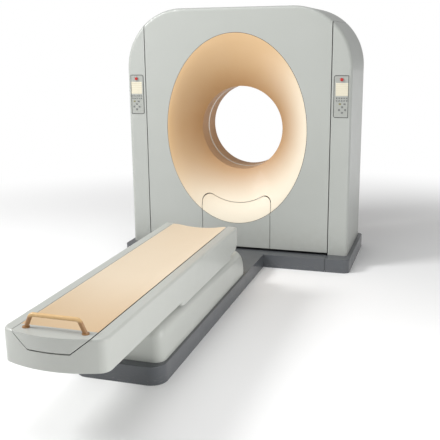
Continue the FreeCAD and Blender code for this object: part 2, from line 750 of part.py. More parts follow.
def channel(grow):
    """The trapezium channel along the couch that the cradle runs in."""
    slope = (CHANNEL_TOP_HALF - CHANNEL_FLOOR_HALF) / (COUCH_TOP - CHANNEL_FLOOR)
    top = COUCH_TOP + 50
    side = grow * math.sqrt(1 + slope * slope)
    z0 = CHANNEL_FLOOR - grow
    y0, y1 = COUCH_NEAR - 50, COUCH_FAR + 50
    low = CHANNEL_FLOOR_HALF + side - grow * slope
    high = CHANNEL_TOP_HALF + side + slope * 50
    return face_of([(-low, y0, z0), (low, y0, z0), (high, y0, top), (-high, y0, top)]).extrude(
        V(0, y1 - y0, 0)
    )


def couch_cover():
    """The couch's moulded body: a hollow shell round the channel, with a hatch for the lift below."""
    outer = couch_block(0)
    top = [e for e in edges_at(outer, "Z", COUCH_TOP)]
    outer = outer.makeFillet(COUCH_EDGE_R, top)
    cavity = couch_block(SHELL_T).cut(channel(SHELL_T))
    shell = outer.cut(cavity).cut(channel(0))
    hatch = box(-150, 150, SKIRT[0] + 12, SKIRT[1] - 12, COUCH_BOTTOM - 10, COUCH_BOTTOM + SHELL_T + 1)
    slot = box(-14, 14, CLAMP_Y - 60, CLAMP_Y + CRADLE_TRAVEL + 60, COUCH_BOTTOM + 60, CHANNEL_FLOOR + 5)
    return shell.cut(hatch).cut(slot)


def couch_skirt():
    w = COUCH_HALF_W - 4
    r = 25.0
    outer = rounded_plan(-w, w, *SKIRT, (r, r, r, r), SKIRT_BOTTOM, COUCH_BOTTOM)
    t = SHELL_T
    ri = r - t
    inner = rounded_plan(
        -w + t, w - t, SKIRT[0] + t, SKIRT[1] - t, (ri, ri, ri, ri), SKIRT_BOTTOM - 1, COUCH_BOTTOM + 1
    )
    return outer.cut(inner)


def cradle_section(low_z, high_z, clear, dish):
    """The cradle's section: sloping flanks a clearance away from the channel, and a dished top."""
    slope = (CHANNEL_TOP_HALF - CHANNEL_FLOOR_HALF) / (COUCH_TOP - CHANNEL_FLOOR)

    def half(z):
        return CHANNEL_FLOOR_HALF + (z - CHANNEL_FLOOR) * slope - clear * math.sqrt(1 + slope * slope)

    a, b = half(low_z), half(high_z)
    edges = [
        Part.LineSegment(V(-b, 0, high_z), V(-a, 0, low_z)),
        Part.LineSegment(V(-a, 0, low_z), V(a, 0, low_z)),
        Part.LineSegment(V(a, 0, low_z), V(b, 0, high_z)),
    ]
    if dish:
        rim = 8.0
        edges += [
            Part.LineSegment(V(b, 0, high_z), V(b - rim, 0, high_z)),
            Part.Arc(V(b - rim, 0, high_z), V(0, 0, high_z - dish), V(-b + rim, 0, high_z)),
            Part.LineSegment(V(-b + rim, 0, high_z), V(-b, 0, high_z)),
        ]
    else:
        edges.append(Part.LineSegment(V(b, 0, high_z), V(-b, 0, high_z)))
    return Part.Face(Part.Wire([e.toShape() for e in edges]))


def cradle():
    face = cradle_section(CRADLE_UNDER, COUCH_TOP, CRADLE_CLEAR, CRADLE_DISH)
    face.translate(V(0, CRADLE_NEAR, 0))
    body = face.extrude(V(0, CRADLE_FAR - CRADLE_NEAR, 0))
    w = CHANNEL_TOP_HALF
    plan = rounded_plan(-w, w, CRADLE_NEAR - 1, CRADLE_FAR, (0, 0, 60, 60), CRADLE_UNDER - 5, COUCH_TOP + 5)
    return body.common(plan)


def end_block():
    """The moulded block that closes the cradle's foot end and carries the pull handle."""
    face = cradle_section(CHANNEL_FLOOR + RAIL_H + RAIL_CLEAR, COUCH_TOP, CRADLE_CLEAR, 0)
    face.translate(V(0, COUCH_NEAR - 20, 0))
    body = face.extrude(V(0, CRADLE_NEAR - COUCH_NEAR + 20, 0))
    plan = couch_plan(0.5)
    plan.translate(V(0, 0, CHANNEL_FLOOR - 5))
    return body.common(plan.extrude(V(0, 0, 200)))


def pull_handle():
    """A bent tube handle: two feet on the end block, legs that lean in, and a straight bar."""
    foot, bar = HANDLE_HALF_W, HANDLE_HALF_W - HANDLE_LEAN
    r = 24.0
    corner = V(bar, HANDLE_Y, HANDLE_TOP)
    leg_foot = V(foot, HANDLE_Y, COUCH_TOP)
    leg = (leg_foot - corner).normalize()
    inward = V(-1, 0, 0)
    bisect = (leg + inward).normalize()
    half = math.acos(leg.dot(bisect))
    reach = r / math.tan(half)
    centre = corner + bisect * (r / math.sin(half))
    a, b = corner + leg * reach, corner + inward * reach
    m = centre - bisect * r

    def flip(p):
        return V(-p.x, p.y, p.z)

    path = Part.Wire(
        [
            Part.LineSegment(leg_foot, a).toShape(),
            Part.Arc(a, m, b).toShape(),
            Part.LineSegment(b, flip(b)).toShape(),
            Part.Arc(flip(b), flip(m), flip(a)).toShape(),
            Part.LineSegment(flip(a), flip(leg_foot)).toShape(),
        ]
    )
    start = Part.Wire([Part.Circle(leg_foot, leg * -1, HANDLE_R).toShape()])
    tube = path.makePipeShell([start], True, False)
    feet = both(rod(HANDLE_R + 7, (foot, HANDLE_Y, COUCH_TOP), (foot, HANDLE_Y, COUCH_TOP + 5)))
    tube = tube.cut(box(-BIG, BIG, -BIG * 2, 0, 0, COUCH_TOP))
    return joined([tube, feet])


# ---- couch frame, rails and cradle drive ----
REST = math.radians(ARM_REST_DEG)
TOP_PIVOTS = tuple(y - ARM_LENGTH * math.cos(REST) for y in BASE_PIVOTS)
TOP_PIVOT_Z = BASE_PIVOT_Z + ARM_LENGTH * math.sin(REST)
FRAME_TOP = CHANNEL_FLOOR - SHELL_T
FRAME_LOW = COUCH_BOTTOM + 17


def couch_frame():
    """The welded frame inside the couch: two long beams, cross tubes, lift brackets and the idler's pin."""
    x0, x1 = 80.0, 110.0
    y0, y1 = DRIVE_SPAN[0] - 120, COUCH_FAR - 50
    beam = box(x0, x1, y0, y1, FRAME_LOW, FRAME_TOP)
    beam = beam.cut(box(x0 + 5, x1 - 5, y0 - 1, y1 + 1, FRAME_LOW + 5, FRAME_TOP - 5))
    parts = [both(beam)]
    for y in (y0 + 60, TOP_PIVOTS[1] - 110, (TOP_PIVOTS[0] + TOP_PIVOTS[1]) / 2, TOP_PIVOTS[0] + 110):
        parts.append(box(-x0, x0, y - 20, y + 20, DRIVE_Z - 19, DRIVE_Z + 18))
    for y, clear in zip(TOP_PIVOTS, (RUNNING, OPEN_PIVOT_CLEAR)):
        ear = box(BRACKET_X[0], BRACKET_X[1], y - 40, y + 40, TOP_PIVOT_Z, FRAME_LOW)
        ear = ear.fuse(rod(40, (BRACKET_X[0], y, TOP_PIVOT_Z), (BRACKET_X[1], y, TOP_PIVOT_Z)))
        ear = ear.cut(rod(TOP_PIN_R + clear, (0, y, TOP_PIVOT_Z), (BIG, y, TOP_PIVOT_Z)))
        parts.append(both(ear))
    parts.append(rod(8, (-x0, DRIVE_SPAN[0], DRIVE_Z), (x0, DRIVE_SPAN[0], DRIVE_Z)))
    return joined(parts)


def rails():
    return both(
        box(
            RAIL_X - RAIL_W / 2,
            RAIL_X + RAIL_W / 2,
            *RAIL_SPAN,
            CHANNEL_FLOOR,
            CHANNEL_FLOOR + RAIL_H,
        )
    )


def carriages():
    """Four sliding blocks under the cradle that straddle the rails, and the belt's clamp arm."""
    low, high = CHANNEL_FLOOR + 2, CRADLE_UNDER
    blocks = []
    for y in CARRIAGES_Y:
        block = box(RAIL_X - 16, RAIL_X + 16, y - CARRIAGE_L / 2, y + CARRIAGE_L / 2, low, high)
        slot = box(
            RAIL_X - RAIL_W / 2 - RUNNING,
            RAIL_X + RAIL_W / 2 + RUNNING,
            y - CARRIAGE_L,
            y + CARRIAGE_L,
            0,
            CHANNEL_FLOOR + RAIL_H + RUNNING,
        )
        blocks.append(both(block.cut(slot)))
    belt_top = DRIVE_Z + DRIVE_PULLEY_R + BELT_CLEAR + DRIVE_BELT_T
    clamp = box(-9, 9, CLAMP_Y - 30, CLAMP_Y + 30, belt_top + BELT_CLEAR, high)
    return Part.makeCompound([s for b in blocks for s in b.Solids] + [clamp])


drive_belt_half_w = 10.0
cradle_belt = loop_belt(
    (DRIVE_SPAN[0], DRIVE_Z),
    (DRIVE_SPAN[1], DRIVE_Z),
    DRIVE_PULLEY_R + BELT_CLEAR,
    DRIVE_PULLEY_R + BELT_CLEAR,
    DRIVE_BELT_T,
    V(2 * drive_belt_half_w, 0, 0),
    lambda u, v: V(-drive_belt_half_w, u, v),
)


def small_pulley(y):
    x = drive_belt_half_w + 1
    wheel = rod(DRIVE_PULLEY_R, (-x, y, DRIVE_Z), (x, y, DRIVE_Z))
    flange = rod(DRIVE_PULLEY_R + 2, (x, y, DRIVE_Z), (x + 2, y, DRIVE_Z))
    return joined([wheel, both(flange)])


cradle_idler = small_pulley(DRIVE_SPAN[0]).cut(
    rod(8 + RUNNING, (-100, DRIVE_SPAN[0], DRIVE_Z), (100, DRIVE_SPAN[0], DRIVE_Z))
)
cradle_drive_pulley = joined(
    [small_pulley(DRIVE_SPAN[1]), rod(6, (10, DRIVE_SPAN[1], DRIVE_Z), (50, DRIVE_SPAN[1], DRIVE_Z))]
)
cradle_motor = rod(30, (18, DRIVE_SPAN[1], DRIVE_Z), (80, DRIVE_SPAN[1], DRIVE_Z)).cut(
    rod(6 + RUNNING, (17, DRIVE_SPAN[1], DRIVE_Z), (52, DRIVE_SPAN[1], DRIVE_Z))
)


# ---- lift ----
def lift_arm(base_y, top_y):
    """One parallelogram arm: two side plates, the lower shaft, the upper pin and a tie between them."""
    dy, dz = top_y - base_y, TOP_PIVOT_Z - BASE_PIVOT_Z
    length = math.hypot(dy, dz)
    uy, uz = dy / length, dz / length
    h = ARM_HALF_W
    x0, x1 = ARM_X
    corners = [
        (x0, base_y - uz * h, BASE_PIVOT_Z + uy * h),
        (x0, top_y - uz * h, TOP_PIVOT_Z + uy * h),
        (x0, top_y + uz * h, TOP_PIVOT_Z - uy * h),
        (x0, base_y + uz * h, BASE_PIVOT_Z - uy * h),
    ]
    bar = face_of(corners).extrude(V(x1 - x0, 0, 0))
    bar = bar.fuse(rod(h + 4, (x0, base_y, BASE_PIVOT_Z), (x1, base_y, BASE_PIVOT_Z)))
    bar = bar.fuse(rod(h, (x0, top_y, TOP_PIVOT_Z), (x1, top_y, TOP_PIVOT_Z)))
    mid = (base_y + dy * 0.45, BASE_PIVOT_Z + dz * 0.45)
    return joined(
        [
            both(bar),
            rod(LIFT_SHAFT_R, (-CHEEK_X[1], base_y, BASE_PIVOT_Z), (CHEEK_X[1], base_y, BASE_PIVOT_Z)),
            rod(TOP_PIN_R, (-x1, top_y, TOP_PIVOT_Z), (x1, top_y, TOP_PIVOT_Z)),
            rod(18, (-x0, *mid), (x0, *mid)),
        ]
    )


def couch_base():
    """The couch's floor frame: a plate, two cheeks with the lift bearings, and end ribs."""
    half_w = COUCH_PLINTH_HALF_W - PLINTH_T
    plate = box(-half_w, half_w, COUCH_PLINTH[0] + COUCH_PLINTH_CORNER_R + 12, COUCH_PLINTH[1] - 31, 0, 15)
    parts = [plate]
    y0, y1 = BASE_PIVOTS[1] - 100, BASE_PIVOTS[0] + 80
    cheek = box(CHEEK_X[0], CHEEK_X[1], y0, y1, 15, BASE_PIVOT_Z + 45)
    for y in BASE_PIVOTS:
        cheek = cheek.cut(
            rod(LIFT_SHAFT_R + RUNNING, (0, y, BASE_PIVOT_Z), (CHEEK_X[1] + 1, y, BASE_PIVOT_Z))
        )
    parts.append(both(cheek))
    for y in (y0, y1 - 12):
        parts.append(box(-CHEEK_X[0], CHEEK_X[0], y, y + 12, 15, 60))
    base = joined(parts)
    for x in (-COUCH_ANCHORS_X, COUCH_ANCHORS_X):
        for y in COUCH_ANCHORS_Y:
            base = base.cut(rod(ANCHOR_R, (x, y, -1), (x, y, 16)))
    return base


def lift_gearmotor():
    """The worm gearbox round the front lift shaft, with its motor along the couch."""
    y = BASE_PIVOTS[0]
    gearbox = box(-50, 50, y - 65, y + 65, 60, BASE_PIVOT_Z + 65)
    foot = box(-70, 70, y - 65, y + 65, 15, 60)
    motor = rod(45, (0, y + 65, BASE_PIVOT_Z), (0, y + 265, BASE_PIVOT_Z))
    unit = joined([gearbox, foot, motor])
    return unit.cut(rod(LIFT_SHAFT_R + RUNNING, (-100, y, BASE_PIVOT_Z), (100, y, BASE_PIVOT_Z)))


def pedestal_form(inset):
    """The pedestal's form, shrunk by an inset: a long round far end, a tighter near end and soft sides."""
    w = PEDESTAL_HALF_W - inset
    top = PEDESTAL_TOP - inset
    y0, y1 = PEDESTAL[0] + inset, PEDESTAL[1] - inset
    block = box(-w, w, y0, y1, PLINTH_H, top)
    for y, radius in ((y1, PEDESTAL_FAR_R), (y0, PEDESTAL_NEAR_R)):
        ends = [e for e in edges_at(block, "Y", y) if abs(e.BoundBox.ZMin - top) < 1e-3]
        block = block.makeFillet(radius - inset, ends)
    flanks = edges_at(block, "X", w) + edges_at(block, "X", -w)
    sides = [e for e in flanks if e.BoundBox.ZMax > PLINTH_H + 1]
    return block.makeFillet(PEDESTAL_EDGE_R - inset, sides)


def pedestal_cover():
    """The soft-shouldered cover over the lift, with an open top that the arms rise through."""
    w = PEDESTAL_OPENING_HALF
    mouth = rounded_plan(-w, w, *PEDESTAL_OPENING, (20, 20, 20, 20), PEDESTAL_TOP - 100, PEDESTAL_TOP + 10)
    return pedestal_form(0).cut(pedestal_form(PLINTH_T)).cut(mouth)


def couch_plinth():
    t, r, w = PLINTH_T, COUCH_PLINTH_CORNER_R, COUCH_PLINTH_HALF_W
    y0, y1 = COUCH_PLINTH
    outer = rounded_plan(-w, w, y0, y1, (r, r, 0, 0), 0, PLINTH_H)
    rim = [e for e in edges_at(outer, "Z", PLINTH_H) if e.BoundBox.YMin < y1 - 1]
    outer = outer.makeFillet(PLINTH_EDGE_R, rim)
    inner = rounded_plan(-w + t, w - t, y0 + t, y1 + 1, (r - t, r - t, 0, 0), -1, PLINTH_H - t)
    mouth = box(-205, 205, y0 + 110, y1 - 60, 0, BIG)
    return outer.cut(inner).cut(mouth)


def plinth_link():
    """The floor duct from the couch to the gantry: two sides and a lid."""
    w, t = COUCH_PLINTH_HALF_W, PLINTH_T
    y0, y1 = COUCH_PLINTH[1] + 0.6, PLINTH_FRONT
    return box(-w, w, y0, y1, 0, PLINTH_H).cut(box(-w + t, w - t, y0 - 1, y1 + 1, -1, PLINTH_H - t))


# ---- write every sub-part ----
os.makedirs("parts", exist_ok=True)

gap = PLINTH_SEAM / 2
seam_x = (CENTRE_HALF_W + TOWER_IN) / 2
plinth = plinth_shell()
save("plinth_right", plinth.common(box(seam_x + gap, BIG, -BIG, BIG, 0, BIG)))
save("plinth_left", plinth.common(box(-BIG, -seam_x - gap, -BIG, BIG, 0, BIG)))
save("plinth_front", plinth.common(box(-seam_x + gap, seam_x - gap, -BIG, 0, 0, BIG)))
save("plinth_rear", plinth.common(box(-seam_x + gap, seam_x - gap, 0, BIG, 0, BIG)))
save("gantry_base", gantry_base())

for side, place in (("right", lambda s: s), ("left", mirrored)):
    save("tower_frame_" + side, place(tower_frame()))
    save("tower_cover_" + side, place(tower_cover()))
    save("tilt_bearing_" + side, place(pillow_block()))
    save("control_panel_" + side, place(control_panel()))
    save("display_" + side, place(conform(*DISPLAY_X, *DISPLAY_Z, 0, 0, PANEL_PROUD)))
    save("stop_button_" + side, place(stop_button()))
save("stop_switches", Part.makeCompound([stop_guide(), mirrored(stop_guide())]))
save("tilt_gearmotor", tilt_gearmotor())

save("front_cover", front_cover)
save("access_panel", access_panel)
save("rear_cover", rear_cover)
save("front_flare", front_flare)
save("flare_insert", flare_insert)
save("rear_flare", rear_flare)
save("bore_tunnel", bore_tunnel)
save("scan_window", scan_window)
save("stator_frame", stator_frame())
save("bearing_outer_race", bearing_outer)
save("drive_motor", drive_motor)
save("drive_belt", drive_belt)
save("motor_pulley", motor_pulley)

save("rotor_drum", rotor_drum())
save("bearing_inner_race", bearing_inner)
save("bearing_balls", Part.makeCompound(balls))
save("slip_ring", slip_ring)
save("xray_tube", xray_tube())
save("collimator", collimator())
save("hv_generator", finned_box(-620.0, -440.0, 150.0, -120.0))
save("counterweight", box(440, 610, -20, DRUM_PLATE[0], ISO_Z - 130, ISO_Z + 130))
save("detector_array", detector_array())

save("couch_base", couch_base())
save("couch_plinth", couch_plinth())
save("plinth_link", plinth_link())
save("pedestal_cover", pedestal_cover())
save("lift_gearmotor", lift_gearmotor())
save("lift_arm_front", lift_arm(BASE_PIVOTS[0], TOP_PIVOTS[0]))
save("lift_arm_rear", lift_arm(BASE_PIVOTS[1], TOP_PIVOTS[1]))
save("couch_frame", couch_frame())
save("couch_cover", couch_cover())
save("couch_skirt", couch_skirt())
save("cradle_rails", rails())
save("cradle_motor", cradle_motor)
save("cradle_belt", cradle_belt)
save("cradle_drive_pulley", cradle_drive_pulley)
save("cradle_idler_pulley", cradle_idler)
save("cradle", cradle())
save("cradle_carriages", carriages())
save("cradle_end_block", end_block())
save("pull_handle", pull_handle())
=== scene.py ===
"""The looks of a CT scanner: a tilting gantry with a beige funnel, and a patient couch on a plinth.

Metres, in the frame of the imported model: the origin is on the floor below the isocentre, +Y goes
into the bore and +Z is up. The script follows the machine as it is put together, with one section
for each piece or group of like pieces.
"""
import math
import bpy
import numpy as np
from mathutils import Matrix, Vector


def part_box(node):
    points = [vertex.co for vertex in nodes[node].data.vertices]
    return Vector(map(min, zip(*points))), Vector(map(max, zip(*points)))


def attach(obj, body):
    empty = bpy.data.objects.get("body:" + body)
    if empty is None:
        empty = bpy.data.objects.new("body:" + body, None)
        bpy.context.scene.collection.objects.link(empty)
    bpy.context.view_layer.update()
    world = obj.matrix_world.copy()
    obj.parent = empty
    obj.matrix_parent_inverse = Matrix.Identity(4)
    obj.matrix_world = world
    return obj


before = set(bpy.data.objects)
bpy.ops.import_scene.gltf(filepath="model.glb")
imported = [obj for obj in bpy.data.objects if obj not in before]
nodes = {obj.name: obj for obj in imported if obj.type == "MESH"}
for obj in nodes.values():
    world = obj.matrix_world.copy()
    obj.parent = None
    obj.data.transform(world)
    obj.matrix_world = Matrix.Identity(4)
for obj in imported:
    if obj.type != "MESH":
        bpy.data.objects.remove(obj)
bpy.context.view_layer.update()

# ---- camera ----
# It stands past the couch's foot end, to the right of the couch and a little above standing eye
# height. Yaw, pitch and roll turn it from a level view along +Y.
camera_at = Vector((1.675, -6.112, 1.820))
yaw, pitch, roll = 0.3066, 0.2406, -0.0114
ahead = Vector(
    (-math.sin(yaw) * math.cos(pitch), math.cos(yaw) * math.cos(pitch), -math.sin(pitch))
)
level = ahead.cross(Vector((0, 0, 1))).normalized()
upright = level.cross(ahead)
right = level * math.cos(roll) + upright * math.sin(roll)
above = upright * math.cos(roll) - level * math.sin(roll)
lens = bpy.data.cameras.new("camera")
lens.lens = 59.53
lens.sensor_width = 36.0
camera = bpy.data.objects.new("camera", lens)
turn = Matrix((right, above, -ahead)).transposed()
camera.matrix_world = Matrix.Translation(camera_at) @ turn.to_4x4()
bpy.context.scene.collection.objects.link(camera)
bpy.context.scene.camera = camera

# ---- studio: floor, sky and soft lights ----
# A white floor that fades into a white surround, and large soft lights from the left, from above
# and, low down, from the right. The left one is the strongest, so the shadows fall to the right.
bpy.context.scene.view_settings.view_transform = "Standard"
world = bpy.data.worlds.new("studio")
world.use_nodes = True
sky = world.node_tree
ray = sky.nodes.new("ShaderNodeLightPath")
level_of = sky.nodes.new("ShaderNodeMapRange")
surround, backdrop = 0.46, 1.0
level_of.inputs["To Min"].default_value = surround
level_of.inputs["To Max"].default_value = backdrop
sky.links.new(ray.outputs["Is Camera Ray"], level_of.inputs["Value"])
sky.links.new(level_of.outputs["Result"], sky.nodes["Background"].inputs["Strength"])
sky.nodes["Background"].inputs["Color"].default_value = (1.0, 1.0, 1.0, 1.0)
bpy.context.scene.world = world

for light_name, place, aim, size, power in (
    ("key_light", (-4.8, -4.0, 4.8), (0.0, -0.9, 0.8), 2.2, 330.0),
    ("top_light", (-0.5, -2.6, 6.0), (0.0, -2.2, 0.3), 3.5, 95.0),
    ("low_light", (2.8, -3.2, 0.7), (-0.2, -2.2, 0.2), 1.4, 34.0),
):
    lamp = bpy.data.lights.new(light_name, "AREA")
    lamp.size = size
    lamp.energy = power
    holder = bpy.data.objects.new(light_name, lamp)
    holder.location = place
    holder.rotation_euler = (Vector(aim) - Vector(place)).to_track_quat("-Z", "Y").to_euler()
    bpy.context.scene.collection.objects.link(holder)


class Wire:
    """A value in a finish: an output socket that Python's own operators work on. Each operator adds
    a Math node."""

    def __init__(self, finish, socket):
        self.finish = finish
        self.socket = socket

    def maths(self, operation, *values):
        return self.finish.node("ShaderNodeMath", {"operation": operation}, dict(enumerate(values)))

    def __add__(self, other):
        return self.maths("ADD", self, other)

    def __sub__(self, other):
        return self.maths("SUBTRACT", self, other)

    def __rsub__(self, other):
        return self.maths("SUBTRACT", other, self)

    def __mul__(self, other):
        return self.maths("MULTIPLY", self, other)

    def __pow__(self, other):
        return self.maths("POWER", self, other)

    __radd__ = __add__
    __rmul__ = __mul__

    def above(self, edge, softness):
        """0 below the edge and 1 above it, with an S-shaped slope as wide as the softness."""
        settings = {"interpolation_type": "SMOOTHSTEP"}
        spans = {"Value": self, "From Min": edge - softness / 2, "From Max": edge + softness / 2}
        return self.finish.node("ShaderNodeMapRange", settings, spans)


class Finish:
    """One material. node() adds any node: its settings go in first, and then the values or links of
    its sockets."""

    def __init__(self, name, roughness=0.4, metallic=0.0, coat=0.0):
        self.material = bpy.data.materials.new(name)
        self.material.use_nodes = True
        self.tree = self.material.node_tree
        self.shader = self.tree.nodes["Principled BSDF"]
        self.place = self.node("ShaderNodeTexCoord", out="Object")
        self.feed("Roughness", roughness)
        self.feed("Metallic", metallic)
        self.feed("Coat Weight", coat)

    def join(self, socket, value):
        if isinstance(value, Wire):
            self.tree.links.new(value.socket, socket)
        else:
            socket.default_value = value

    def feed(self, name, value):
        self.join(self.shader.inputs[name], value)

    def node(self, kind, settings=None, inputs=None, out=0):
        made = self.tree.nodes.new(kind)
        for key, value in (settings or {}).items():
            setattr(made, key, value)
        for key, value in (inputs or {}).items():
            self.join(made.inputs[key], value)
        return Wire(self, made.outputs[out])

    def noise(self, size, detail=3.0, stretch=(1.0, 1.0, 1.0)):
        """Soft noise from 0 to 1 whose lumps are about as large as the size, in metres."""
        spread = self.node("ShaderNodeMapping", None, {"Vector": self.place, "Scale": stretch})
        lumps = {"Vector": spread, "Scale": 1 / size, "Detail": detail}
        return self.node("ShaderNodeTexNoise", None, lumps)

    def along(self, axis):
        """The place along X, Y or Z, in metres."""
        return self.node("ShaderNodeSeparateXYZ", None, {0: self.place}, out=axis)

    def blend(self, first, second, factor):
        """A colour between two colours."""
        ends = {"Factor": factor, 6: first, 7: second}
        return self.node("ShaderNodeMix", {"data_type": "RGBA"}, ends, out=2)

    def relief(self, height, depth):
        """Bumps the surface by a height from 0 to 1, as deep as said, in metres."""
        bump = self.node("ShaderNodeBump", None, {"Height": height, "Distance": depth})
        self.feed("Normal", bump)


def colour(red, green, blue):
    """A screen colour, 0 to 255 each, as the shader's linear colour."""
    channels = [((c / 255 + 0.055) / 1.055) ** 2.4 for c in (red, green, blue)]
    return (*channels, 1.0)


def dress(finish, *names):
    """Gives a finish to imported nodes, whose shape stays as it is."""
    for name in names:
        mesh = nodes[name].data
        mesh.materials.clear()
        mesh.materials.append(finish.material)


def show(name, points, faces, finish, body):
    """Makes a smooth-shaded piece from arrays of points and faces, and lets it move with a body. A
    face that names one point twice keeps it once, and so is a triangle."""
    mesh = bpy.data.meshes.new(name)
    mesh.from_pydata(points.tolist(), [], [list(dict.fromkeys(face)) for face in faces.tolist()])
    mesh.polygons.foreach_set("use_smooth", np.ones(len(mesh.polygons), dtype=bool))
    mesh.materials.append(finish.material)
    mesh.update()
    piece = bpy.data.objects.new(name, mesh)
    bpy.context.scene.collection.objects.link(piece)
    if body:
        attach(piece, body)
    return piece


def grid_faces(rows, columns, wrap_rows=False, wrap_columns=False):
    """Quads between neighbours of a grid of points, with its first and last lines joined where it
    wraps."""
    i = np.arange(rows if wrap_rows else rows - 1)[:, None]
    j = np.arange(columns if wrap_columns else columns - 1)[None, :]
    k, m = (i + 1) % rows, (j + 1) % columns
    quads = np.stack([i * columns + j, k * columns + j, k * columns + m, i * columns + m], axis=-1)
    return quads.reshape(-1, 4)


# The floor turns from a lit surface into plain light with distance, and lies just below the feet.
floor_paint = Finish("studio_floor", roughness=0.9)
floor_paint.feed("Base Color", (0.93, 0.93, 0.93, 1.0))
fade_x, fade_y = 0.4, -1.6
fade_radius, fade_width = 4.6, 2.8
east = floor_paint.along("X") - fade_x
north = floor_paint.along("Y") - fade_y
far_off = ((east * east + north * north) ** 0.5).above(fade_radius, fade_width)
lit = Wire(floor_paint, floor_paint.shader.outputs["BSDF"])
glow = floor_paint.node("ShaderNodeEmission", None, {"Strength": backdrop})
faded = floor_paint.node("ShaderNodeMixShader", None, {0: far_off, 1: lit, 2: glow})
floor_output = floor_paint.tree.nodes["Material Output"]
floor_paint.tree.links.new(faded.socket, floor_output.inputs["Surface"])
floor_half = 40.0
floor_drop = 0.0005
corners = np.array([(-1, -1), (1, -1), (1, 1), (-1, 1)]) * floor_half
floor_points = np.column_stack([corners, np.full(4, -floor_drop)])
floor = show("studio_floor", floor_points, np.array([[0, 1, 2, 3]]), floor_paint, None)

# ---- gantry covers: front, rear, access panel and the two towers ----
# Large moulded shells in a satin light grey paint. Sprayed paint has a fine orange peel, slight
# cloudiness from coat to coat, and a little grime near the floor.
housing_paint = Finish("housing_paint", coat=0.15)
cloud = housing_paint.noise(0.6, detail=2.0)
peel = housing_paint.noise(0.004, detail=1.0)
grime_height, grime_fade = 0.28, 0.35
near_floor = 1 - housing_paint.along("Z").above(grime_height, grime_fade)
grime = near_floor * housing_paint.noise(0.05)
light_grey = housing_paint.blend(colour(170, 173, 168), colour(177, 180, 176), cloud)
grimy_grey = housing_paint.blend(light_grey, colour(150, 150, 142), grime * 0.5)
housing_paint.feed("Base Color", grimy_grey)
housing_paint.feed("Roughness", 0.34 + 0.1 * housing_paint.noise(0.12))
housing_paint.relief(peel, 0.00012)
dress(
    housing_paint, "front_cover", "rear_cover", "access_panel", "tower_cover_left",
    "tower_cover_right",
)

# ---- funnels, bore tunnel and scan window ----
# The flares are beige moulded plastic. Painted shade makes the throat darker and browner, and a
# painted highlight makes the lower right paler. The window is a strip of thin film that the beam
# passes through.
flare_plastic = Finish("flare_plastic", coat=0.04)
bore_centre = 1.108
throat_shade_radius, throat_shade_fade = 0.47, 0.4
highlight_shift, highlight_edge, highlight_fade = 0.1, 0.15, 1.1
across = flare_plastic.along("X")
height = flare_plastic.along("Z") - bore_centre
reach = (across * across + height * height) ** 0.5
# Near the bore's axis the colour is painted darker and browner: painted shade deep in the throat.
throat_shade = 1 - reach.above(throat_shade_radius, throat_shade_fade)
# Towards the lower right the beige is painted paler, nearly white: a painted highlight where the
# light falls. body is the beige with this highlight in it.
painted_highlight = (across - height + highlight_shift).above(highlight_edge, highlight_fade)
body = flare_plastic.blend(colour(206, 170, 124), colour(238, 228, 208), painted_highlight)
lit_and_shaded_beige = flare_plastic.blend(body, colour(172, 126, 72), throat_shade)
mottle = flare_plastic.noise(0.25)
flare_plastic.feed("Base Color", flare_plastic.blend(lit_and_shaded_beige, colour(222, 208, 186), mottle * 0.15))
flare_plastic.feed("Roughness", 0.5 + 0.12 * flare_plastic.noise(0.09))
flare_plastic.relief(flare_plastic.noise(0.003, detail=1.0), 0.0001)
dress(flare_plastic, "front_flare", "flare_insert", "rear_flare", "bore_tunnel")

window_film = Finish("window_film", roughness=0.2, coat=0.3)
streak = window_film.noise(0.03, stretch=(1.0, 0.1, 1.0))
film_shade = window_film.blend(colour(222, 214, 196), colour(206, 196, 176), streak)
window_film.feed("Base Color", film_shade)
dress(window_film, "scan_window")

# ---- rim gaskets ----
# A brown rubber bead that closes the seam between each cover and its flare. It is pushed into the
# seam until it is just behind the cover's face.
gasket_rubber = Finish("gasket_rubber", roughness=0.7)
dusty = gasket_rubber.noise(0.02)
gasket_rubber.feed("Base Color", gasket_rubber.blend(colour(40, 26, 18), colour(62, 44, 32), dusty))
gasket_rubber.relief(gasket_rubber.noise(0.002), 0.0002)


def oval_bead(half_w, half_h, y, bead_r, steps=360, sides=12):
    """A closed round bead along an upright oval. At angle a the middle is (w cos a, y, h sin a),
    and the bead's section is a circle spanned by the oval's outward normal (h cos a, w sin a) and
    the Y axis."""
    a = np.linspace(0, 2 * np.pi, steps, endpoint=False)[:, None]
    b = np.linspace(0, 2 * np.pi, sides, endpoint=False)[None, :]
    length = np.hypot(half_h * np.cos(a), half_w * np.sin(a))
    out_x, out_z = half_h * np.cos(a) / length, half_w * np.sin(a) / length
    x = half_w * np.cos(a) + bead_r * np.cos(b) * out_x
    z = bore_centre + half_h * np.sin(a) + bead_r * np.cos(b) * out_z
    points = np.stack([x, y + bead_r * np.sin(b) + 0 * a, z], axis=-1).reshape(-1, 3)
    return points, grid_faces(steps, sides, True, True)


house_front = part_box("front_cover")[0][1]
house_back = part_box("rear_cover")[1][1]
bead_radius = 0.0038
bead_depth = bead_radius + 0.0004
seam_middle = 0.004
for name, rim_w, rim_h, bead_y in (
    ("front_rim_gasket", 0.588, 0.775, house_front + bead_depth),
    ("rear_rim_gasket", 0.500, 0.620, house_back - bead_depth),
):
    points, faces = oval_bead(rim_w + seam_middle, rim_h + seam_middle, bead_y, bead_radius)
    show(name, points, faces[:, ::-1], gasket_rubber, "tilting_gantry")

# ---- control panels: overlay, seal, display, keys and stop button ----
# A grey membrane overlay on each tower, with a dark rubber seal round it, a pale display, two rows
# of keys, an arrow cross with a key on each side above it, and a red stop button on top. The keys
# are blank.
overlay = Finish("panel_overlay", roughness=0.5)
overlay_grey = overlay.blend(colour(158, 161, 156), colour(170, 172, 167), overlay.noise(0.02))
overlay.feed("Base Color", overlay_grey)
overlay.relief(overlay.noise(0.0015), 0.00008)
dress(overlay, "control_panel_left", "control_panel_right", "stop_switches")

